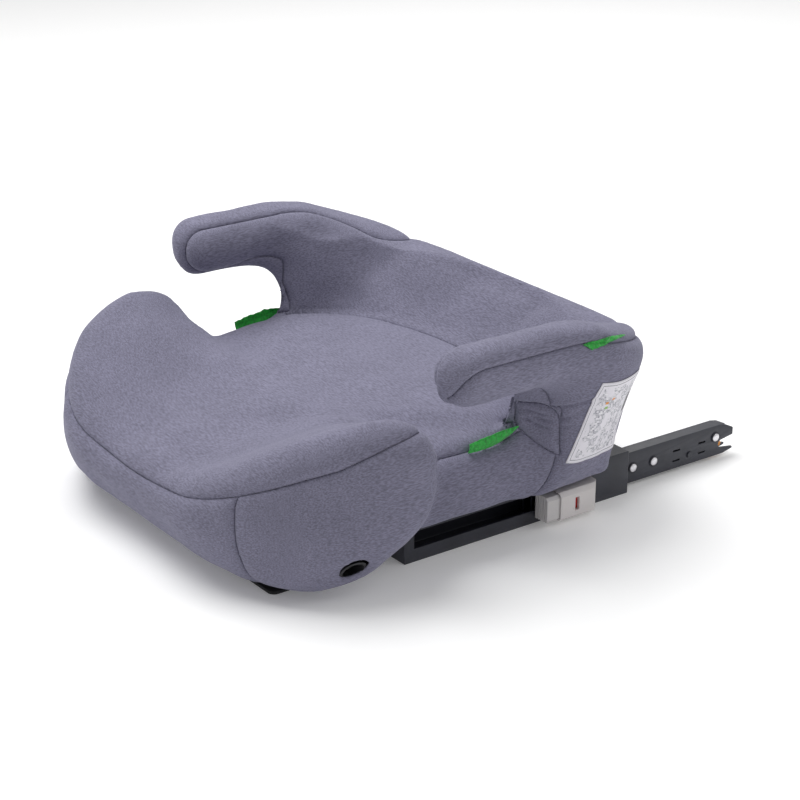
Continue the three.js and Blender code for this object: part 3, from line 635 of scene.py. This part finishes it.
def label_material():
    """A printed cloth label: a thin border, patches of plain grey marks and coloured blocks. No lettering."""
    material, nodes, links, shader = finish_material("printed_label", LABEL_WHITE, 0.55)
    uv = nodes.new("ShaderNodeTexCoord").outputs["UV"]
    split = nodes.new("ShaderNodeSeparateXYZ")
    links.new(uv, split.inputs[0])

    def product(a, b):
        return combined(nodes, links, "MULTIPLY", a, b)

    def between(source, low, high):
        above = combined(nodes, links, "GREATER_THAN", source, low)
        return product(above, combined(nodes, links, "LESS_THAN", source, high))

    def block(left, right, bottom, top):
        return product(between(split.outputs[0], left, right), between(split.outputs[1], bottom, top))

    bars = nodes.new("ShaderNodeTexBrick")
    bars.inputs["Color1"].default_value = (0.25, 0.25, 0.3, 1)
    bars.inputs["Color2"].default_value = (0.85, 0.84, 0.88, 1)
    bars.inputs["Mortar"].default_value = (*LABEL_WHITE, 1)
    bars.inputs["Scale"].default_value = 15
    bars.inputs["Mortar Size"].default_value = 0.024
    bars.inputs["Brick Width"].default_value = 0.42
    bars.inputs["Row Height"].default_value = 0.3
    links.new(uv, bars.inputs["Vector"])
    paper = ramp(nodes, links, noise(nodes, links, object_coords(nodes), 160, 3),
                 [(0.2, tuple(0.92 * c for c in LABEL_WHITE)), (0.8, LABEL_WHITE)])
    patches = ramp(nodes, links, noise(nodes, links, uv, 7, 2), [(0.44, (0, 0, 0)), (0.47, (1, 1, 1))])
    marks = product(patches, block(*PRINTED_AREA))
    colour = blended(nodes, links, marks, paper, bars.outputs["Color"])
    for place, ink in [(line, INK) for line in BORDER] + list(BLOCKS):
        colour = blended(nodes, links, block(*place), colour, (*ink, 1))
    links.new(colour, shader.inputs["Base Color"])
    bump(nodes, links, shader, noise(nodes, links, object_coords(nodes), 700, 2), 0.0001)
    return material


KNIT = (0.206, 0.201, 0.276)
GREEN = (0.006, 0.36, 0.03)
LABEL_WHITE = (0.82, 0.8, 0.86)
FINISHES = {
    "knit_cover": knit_material(),
    "foam": worn_material("moulded_foam", (0.5, 0.5, 0.47), 0.9, grain=420, depth=0.0006),
    "shell_plastic": worn_material("shell_black", (0.018, 0.018, 0.021), 0.5),
    "black_plastic": worn_material("nylon_black", (0.014, 0.014, 0.017), 0.45),
    "grey_plastic": worn_material(
        "housing_grey", (0.7, 0.665, 0.66), 0.42, depth=0.00004, low=0.96, high=1.03
    ),
    "dark_grey_plastic": worn_material(
        "button_grey", (0.62, 0.6, 0.6), 0.48, depth=0.00004, low=0.95, high=1.03
    ),
    "orange_plastic": worn_material("trigger_orange", (0.78, 0.3, 0.04), 0.45),
    "red_plastic": worn_material("indicator_red", (0.62, 0.05, 0.05), 0.4, low=0.92, high=1.06),
    "black_steel": worn_material("powder_coat", (0.026, 0.028, 0.04), 0.4, grain=1700, depth=0.00005),
    "zinc_steel": worn_material(
        "zinc_plate", (0.74, 0.73, 0.76), 0.34, 1.0, depth=0.00003, low=0.9, high=1.05
    ),
    # painted shade: the dark ring round each rivet head stands for the shade in its countersink
    "dark_steel": worn_material("painted_shade_ring", (0.05, 0.05, 0.06), 0.45, 0.6),
    "green_webbing": tape_material(),
    "label": label_material(),
    "rubber": worn_material("foot_rubber", (0.02, 0.02, 0.022), 0.8, grain=600),
}


# ---------------------------------------------------------------- making pieces
def new_piece(name, points, faces, slot, body, materials=None):
    mesh = bpy.data.meshes.new(name)
    mesh.from_pydata([tuple(p) for p in points], [], [tuple(int(i) for i in f) for f in faces])
    mesh.update()
    for material in materials or [FINISHES[slot]]:
        mesh.materials.append(material)
    mesh.polygons.foreach_set("use_smooth", [True] * len(mesh.polygons))
    obj = bpy.data.objects.new(name, mesh)
    scene.collection.objects.link(obj)
    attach(obj, body)
    return obj


def solidify(obj, thickness):
    """Thickens a sheet inwards."""
    modifier = obj.modifiers.new("thickness", "SOLIDIFY")
    modifier.thickness = thickness * MM
    modifier.offset = -1


# ---------------------------------------------------------------- the sewn cover
# Folds that aren't seams: a depth, and points on the padding from the deep end to the faint one.
CREASES = [
    (2.4, [(171, 54, 109.5), (178, 61, 106), (187, 69, 104.5)]),
    (2.4, [(173, 56, 104.5), (181, 64, 101), (189, 72, 99.5)]),
    (2.8, [(170, 53, 103), (177, 61, 97), (189, 72, 92)]),
    (1.4, [(171, 54, 98), (179, 63, 91.5), (187, 70, 87)]),
    (1.7, [(190, 74, 114), (198, 84, 117), (207, 98, 119), (212, 112, 121)]),
    (1.2, [(190.5, 75, 103), (196, 80, 105), (203, 90, 106)]),
    (1.0, [(190.5, 75, 96), (197, 81, 96)]),
]


CREASE_REACH = 50  # no point further than this from a crease's middle is moved by it


def crease_samples(line, side, shares):
    """Points on the padding along one side's crease, at the given shares of the way between its corners."""
    corners = np.array(line, float) * (side, 1, 1)
    return settle(np.array([a + (b - a) * t for a, b in zip(corners, corners[1:]) for t in shares]), 0, 8)


def crease_folds(points):
    out = np.zeros(len(points))
    height, place_of_ridge, width = FOLD_RIDGE
    for deepest, line in CREASES:
        for side in (1, -1):
            samples = crease_samples(line, side, np.arange(0, 1, 0.05))
            near = np.flatnonzero(np.linalg.norm(points - samples.mean(0), axis=1) < CREASE_REACH)
            gap = np.linalg.norm(points[near, None] - samples[None], axis=2)
            place = gap.argmin(1) / len(samples)
            depth = deepest * smooth(1.0, 0.5, place) * smooth(-0.1, 0.15, place)
            d = gap.min(1)
            ridge = height * np.exp(-(((d - place_of_ridge) / width) ** 2))
            out[near] += depth * (ridge - np.exp(-d / FOLD_WIDTH))
    return out


def soft_waves(points):
    """Slight unevenness of padding under cloth."""
    x, y, z = (points / 1000.0).T
    out = 0.28 * np.sin(61 * x + 37 * y + 23 * z) * np.sin(29 * x - 71 * y + 47 * z)
    return out + 0.16 * np.sin(151 * x + 83 * z) * np.sin(131 * y - 97 * z + 1.3)


class Cover:
    """The padding's surface cut into panels, with every seam drawn in."""

    def __init__(self):
        points, quads = padding_mesh(FINE_CELL)
        ac = np.linalg.norm(points[quads[:, 0]] - points[quads[:, 2]], axis=1)
        bd = np.linalg.norm(points[quads[:, 1]] - points[quads[:, 3]], axis=1)
        one, other = quads[ac < bd], quads[ac >= bd]
        corners = [one[:, [0, 1, 2]], one[:, [0, 2, 3]], other[:, [0, 1, 3]], other[:, [1, 2, 3]]]
        points, faces, labels = cut_panels(points, np.concatenate(corners))
        self.seams = tree_of(seam_points(points, faces, labels))
        creases = tree_of(np.concatenate([
            crease_samples(line, side, np.linspace(0, 1, 9)) for _, line in CREASES for side in (1, -1)
        ]))
        for reach, longest, at_seams in REFINEMENTS:
            edges, of_face = edges_of(faces)
            gap = distances(creases, points)
            if at_seams:
                gap = np.minimum(gap, distances(self.seams, points))
            near = gap[edges].max(1) < reach
            span = np.linalg.norm(points[edges[:, 0]] - points[edges[:, 1]], axis=1)
            marked = near & (span > longest)
            halves = np.full(marked.sum(), 0.5)
            points, faces, labels = split_edges(points, faces, labels, edges, of_face, marked, halves)
        coarse, self.offsets = cover_offsets(self.seams)
        self.coarse = tree_of(coarse)
        self.faces, self.labels = faces, labels
        self.flat = points
        self.points = self.raised(points, 0)

    def raised(self, points, lift):
        """Points of the padding's surface moved out to the finished cover, and lift further."""
        out = np.zeros(len(points))
        for i, p in enumerate(points):
            found = self.coarse.find_n(p, NEAREST)
            weights = [1 / (distance**2 + 4) for _, _, distance in found]
            out[i] = sum(w * self.offsets[n] for w, (_, n, _) in zip(weights, found)) / sum(weights)
        d = distances(self.seams, points)
        out -= SEAM_GROOVE[0] * np.exp(-d / SEAM_GROOVE[1]) + SEAM_DIP[0] * np.exp(-((d / SEAM_DIP[1]) ** 2))
        out += crease_folds(points) + soft_waves(points) * smooth(0, 12, d)
        return points + outward(points) * (out + lift)[:, None]

    def panel(self, label, side):
        """Points in metres and faces of one panel, on one side of the seat or, where side is 0, on both."""
        rows = self.labels == label
        if side:
            rows &= self.flat[self.faces, 0].mean(1) * side > 0
        used, faces = np.unique(self.faces[rows], return_inverse=True)
        return self.points[used] * MM, faces.reshape(-1, 3)

    def strip(self, low_edge, high_edge, steps, rows, lift, flat_down=True):
        """A grid between two lines of points, on the right: laid on the cover, or standing up from it."""
        def along(line, t):
            line = np.array(line, float)
            place = np.linspace(0, 1, len(line))
            return np.stack([np.interp(t, place, line[:, i]) for i in range(3)], -1)

        t = np.linspace(0, 1, steps)
        low, high = along(low_edge, t), along(high_edge, t)
        grid = np.concatenate([low + (high - low) * s for s in np.linspace(0, 1, rows)])
        faces = [
            (r * steps + i, r * steps + i + 1, (r + 1) * steps + i + 1, (r + 1) * steps + i)
            for r in range(rows - 1) for i in range(steps - 1)
        ]
        laid = self.raised(settle(grid, 0, 8), lift)
        if flat_down:
            return laid, faces
        stand = np.repeat(smooth(0, 0.35, np.linspace(0, 1, rows)), steps)[:, None]
        return mix(laid, grid, stand), faces


cover = Cover()
for label, (name, _, paired) in enumerate(PANELS):
    if label < HOLES:
        continue
    for side, suffix in ((1, "_right"), (-1, "_left")) if paired else ((0, ""),):
        node = name + suffix
        obj = new_piece("knit_" + node, *cover.panel(label, side), "knit_cover", "seat")
        solidify(obj, PANEL_THICKNESS)
        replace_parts(obj, node)


# Lower edge, upper edge, steps along it, and whether it lies on the cover. If not, it stands up from it.
GUIDES = {
    "lap_belt_guide": (
        [(168, 3.5, 86), (168.5, 12, 85.5), (169, 24, 86.5), (169.5, 36, 89), (169.5, 44, 92), (168, 51, 95)],
        [(168.5, 3, 92.5), (169.3, 12, 94.5), (169.6, 22, 95.5), (170, 33, 97), (170, 43, 97), (168, 51, 96)],
        60, False,
    ),
    "rear_belt_guide": (
        [(215, 76, 170.5), (216, 82, 166), (215, 93, 167), (211, 108, 167), (201, 129, 164.6)],
        [(214.5, 75.5, 171.5), (214.5, 81, 171.8), (213.5, 92, 171.8), (209.5, 107, 170.6),
         (200.5, 129.5, 165.2)],
        56, True,
    ),
}
TAPE_ROWS = 9
TAPE_THICKNESS = 0.6
LABEL_THICKNESS = 0.3
# Sheets under 10 mm wide can't be declared. The rear guide is about 6 mm wide, so its stated width is too
# large.
for name, (low_edge, high_edge, steps, flat_down) in GUIDES.items():
    grid, faces = cover.strip(low_edge, high_edge, steps, TAPE_ROWS, 1.0, flat_down)
    s, t = np.tile(np.linspace(0, 1, steps), TAPE_ROWS), np.repeat(np.linspace(-1, 1, TAPE_ROWS), steps)
    # ripples all along, and one fold across it that fades out at the end
    crumple = 0.3 * np.sin(19 * s + 1.6 * t) + 0.22 * np.sin(47 * s - 2.5 * t)
    ridge, dip = np.exp(-(((s - 0.62 - 0.05 * t) / 0.035) ** 2)), np.exp(-(((s - 0.7) / 0.03) ** 2))
    crumple += 1.1 * ridge - 0.8 * dip
    grid = grid + outward(grid) * (crumple * smooth(1, 0.85, s))[:, None]
    for side, suffix in ((1, "_right"), (-1, "_left")):
        own = faces if side > 0 else [f[::-1] for f in faces]
        obj = new_piece("tape_" + name + suffix, grid * (side, 1, 1) * MM, own, "green_webbing", "seat")
        solidify(obj, TAPE_THICKNESS)
        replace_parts(obj, name + suffix)

LABEL_EDGES = (
    [(190.5, 81, 64), (184, 113, 60), (175, 143, 58)],
    [(212, 97, 134), (206, 127, 131), (191, 152, 129)],
)
LABEL_STEPS, LABEL_ROWS = 34, 34
grid, faces = cover.strip(*LABEL_EDGES, LABEL_STEPS, LABEL_ROWS, 0.7)
care_label = new_piece("sewn_care_label", grid * MM, faces, "label", "seat")
uv = care_label.data.uv_layers.new(name="print")
for loop in care_label.data.loops:
    row, step = divmod(loop.vertex_index, LABEL_STEPS)
    uv.data[loop.index].uv = (step / (LABEL_STEPS - 1), row / (LABEL_ROWS - 1))
solidify(care_label, LABEL_THICKNESS)
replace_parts(care_label, "care_label")


# ---------------------------------------------------------------- hard parts
BOTH = ("_right", "_left")
SOCKET_INSET = 4.5  # the liner's rim lies this far inside its CAD place, level with the sewn hole
FOAM_DEPTH = 12  # how far inside the padding the foam's outer face is kept
SHARP_EDGE = math.radians(28)  # an edge that turns by more than this is eased
# Each CAD part that is shown with its edges eased: its slot, and the edge radius.
EASED = {
    "seat_shell": ("shell_plastic", 0.8),
    "base_plate": ("shell_plastic", 0.8),
    "cross_channel_front": ("black_steel", 0.6),
    "cross_channel_rear": ("black_steel", 0.6),
    "seat_foam": ("foam", 0),
    **{
        name + side: values
        for side in BOTH
        for name, values in {
            "rail": ("black_steel", 0.8),
            "rail_bushing": ("black_plastic", 0.3),
            "slide_shoe": ("black_plastic", 0.3),
            "isofix_bar": ("black_steel", 0.45),
            "pawl_pin": ("black_steel", 0.2),
            "latch_hook": ("zinc_steel", 0.3),
            "trigger": ("orange_plastic", 0.4),
            "pawl": ("zinc_steel", 0.3),
            "release_rod": ("zinc_steel", 0.2),
            "release_housing": ("grey_plastic", 1.1),
            "release_button": ("dark_grey_plastic", 0.7),
            "button_spring": ("zinc_steel", 0),
            "indicator": ("red_plastic", 0.2),
            "front_foot": ("rubber", 0.6),
            "socket_liner": ("black_plastic", 0.4),
        }.items()
    },
}


def recess_foam(bm):
    """Draws the foam's outer face in, clear of the finer cover that lies over it."""
    bmesh.ops.subdivide_edges(bm, edges=bm.edges, cuts=2, use_grid_fill=True)
    bmesh.ops.triangulate(bm, faces=bm.faces)
    for _ in range(2):  # the first move only comes close, as the slope changes on the way
        points = np.array([v.co for v in bm.verts]) / MM
        slope = slope_of(points)
        size = np.maximum(np.linalg.norm(slope, axis=1), 0.2)[:, None]
        depth = np.clip(padding(points) + FOAM_DEPTH, 0, None)[:, None]
        for v, p in zip(bm.verts, points - slope / size * np.minimum(depth, FOAM_DEPTH)):
            v.co = Vector(p) * MM


def eased_copy(node, slot, radius):
    """A copy of a CAD part with its sharp edges rounded to the radius."""
    source = frame["nodes"][node]
    mesh = source.data.copy()
    mesh.materials.clear()
    mesh.materials.append(FINISHES[slot])
    bm = bmesh.new()
    bm.from_mesh(mesh)
    bmesh.ops.remove_doubles(bm, verts=bm.verts, dist=1e-6)
    if slot == "foam":
        recess_foam(bm)
    if node.startswith("socket_liner"):
        inwards = -1 if node.endswith("_right") else 1
        bmesh.ops.translate(bm, verts=bm.verts, vec=(inwards * SOCKET_INSET * MM, 0, 0))
    if radius:
        bmesh.ops.dissolve_limit(bm, angle_limit=math.radians(1), verts=bm.verts, edges=bm.edges)
    for face in bm.faces:
        face.smooth = True
        face.material_index = 0
    bm.to_mesh(mesh)
    bm.free()
    mesh.name = "eased_" + node
    obj = bpy.data.objects.new("eased_" + node, mesh)
    scene.collection.objects.link(obj)
    if radius:
        bevel = obj.modifiers.new("edges", "BEVEL")
        bevel.width = radius * MM
        bevel.segments = 3
        bevel.limit_method = "ANGLE"
        bevel.angle_limit = SHARP_EDGE
        bevel.harden_normals = True
    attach(obj, body_of(source)[0])
    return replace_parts(obj, node)


for node, (slot, radius) in EASED.items():
    obj = eased_copy(node, slot, radius)

# Rivets: a domed bright head in a dark ring of painted shade where the countersink lies, on each face of the
# bar. Radius and x, in mm.
RIVET_PROFILE = [
    (1.5, 147.6), (2.7, 147.45), (3.5, 147.05), (3.75, 146.75), (3.95, 146.6), (4.4, 146.75), (4.6, 146.6),
    (4.6, 146.35), (3.0, 146.3),
]
RIVET_MIDDLE_X = 140
RIVET_HEAD_RADIUS = 3.6  # faces whose middle is further out than this belong to the dark ring of painted shade
# y and z of each rivet's middle
RIVETS = {"mid_rivet": (215, 16.5), "front_rivet": (192, 16.5), "hook_pin": (285.5, 20.5)}
TURNS = 40
profile = RIVET_PROFILE + [(r, 2 * RIVET_MIDDLE_X - x) for r, x in reversed(RIVET_PROFILE)]
for name, (y, z) in RIVETS.items():
    for side, suffix in ((1, "_right"), (-1, "_left")):
        points, faces = [], []
        for r, x in profile:
            for i in range(TURNS):
                angle = 2 * math.pi * i / TURNS * side
                points.append((side * x * MM, (y + r * math.cos(angle)) * MM, (z + r * math.sin(angle)) * MM))
        for ring in range(len(profile) - 1):
            for i in range(TURNS):
                j = (i + 1) % TURNS
                a, b = ring * TURNS, (ring + 1) * TURNS
                faces.append((a + i, b + i, b + j, a + j))
        faces.append(tuple(range(TURNS)))
        faces.append(tuple(reversed(range(len(points) - TURNS, len(points)))))
        body = body_of(frame["nodes"][name + suffix])[0]
        # the second finish is painted shade, for the ring round the head
        finishes = [FINISHES["zinc_steel"], FINISHES["dark_steel"]]
        obj = new_piece("domed_" + name + suffix, points, faces, "zinc_steel", body, finishes)
        for face in obj.data.polygons:
            reach = math.hypot(face.center.y - y * MM, face.center.z - z * MM)
            face.material_index = int(reach > RIVET_HEAD_RADIUS * MM)
        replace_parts(obj, name + suffix)


# ---------------------------------------------------------------- floor, lights and camera
FLOOR_HALF = 12  # in metres
floor_mesh = bpy.data.meshes.new("floor")
floor_corners = [(x * FLOOR_HALF, y * FLOOR_HALF, 0) for x, y in ((-1, -1), (1, -1), (1, 1), (-1, 1))]
floor_mesh.from_pydata(floor_corners, [], [(0, 1, 2, 3)])
floor = bpy.data.objects.new("floor", floor_mesh)
scene.collection.objects.link(floor)
floor_material = worn_material("studio_floor", (0.93, 0.93, 0.93), 0.9, depth=0, low=0.995, high=1.005)
floor_mesh.materials.append(floor_material)
floor_shader = floor_material.node_tree.nodes["Principled BSDF"]
floor_shader.inputs["Emission Color"].default_value = (1, 1, 1, 1)
floor_shader.inputs["Emission Strength"].default_value = 0.12

world = bpy.data.worlds.new("studio")
scene.world = world
world.use_nodes = True
world.node_tree.nodes["Background"].inputs["Color"].default_value = (1, 1, 1, 1)
world.node_tree.nodes["Background"].inputs["Strength"].default_value = 0.34


TARGET = Vector((0, 0.06, 0.0605))


def direction(azimuth, elevation):
    """From the target towards a camera or light. Azimuth 0 is in front of the seat and 90 on its right."""
    a, e = math.radians(azimuth), math.radians(elevation)
    return Vector((math.sin(a) * math.cos(e), -math.cos(a) * math.cos(e), math.sin(e)))


def area_light(name, azimuth, elevation, distance, size, power):
    """A soft box that points at the seat."""
    data = bpy.data.lights.new(name, "AREA")
    data.size = size
    data.energy = power
    light = bpy.data.objects.new(name, data)
    light.location = TARGET + distance * direction(azimuth, elevation)
    light.rotation_euler = (TARGET - light.location).to_track_quat("-Z", "Y").to_euler()
    scene.collection.objects.link(light)


area_light("top_light", -60, 68, 2.2, 1.6, 42)
area_light("side_light", 130, 40, 2.4, 1.4, 9)
area_light("back_light", 215, 40, 2.4, 1.2, 12)

CAMERA_DISTANCE = 1.77
camera_data = bpy.data.cameras.new("camera")
camera_data.sensor_width = 36
camera_data.lens = 95.1
camera = bpy.data.objects.new("camera", camera_data)
back = direction(54, 22)
camera.location = TARGET + CAMERA_DISTANCE * back
camera.rotation_euler = (-back).to_track_quat("-Z", "Y").to_euler()
scene.collection.objects.link(camera)
scene.camera = camera
scene.view_settings.view_transform = "Standard"
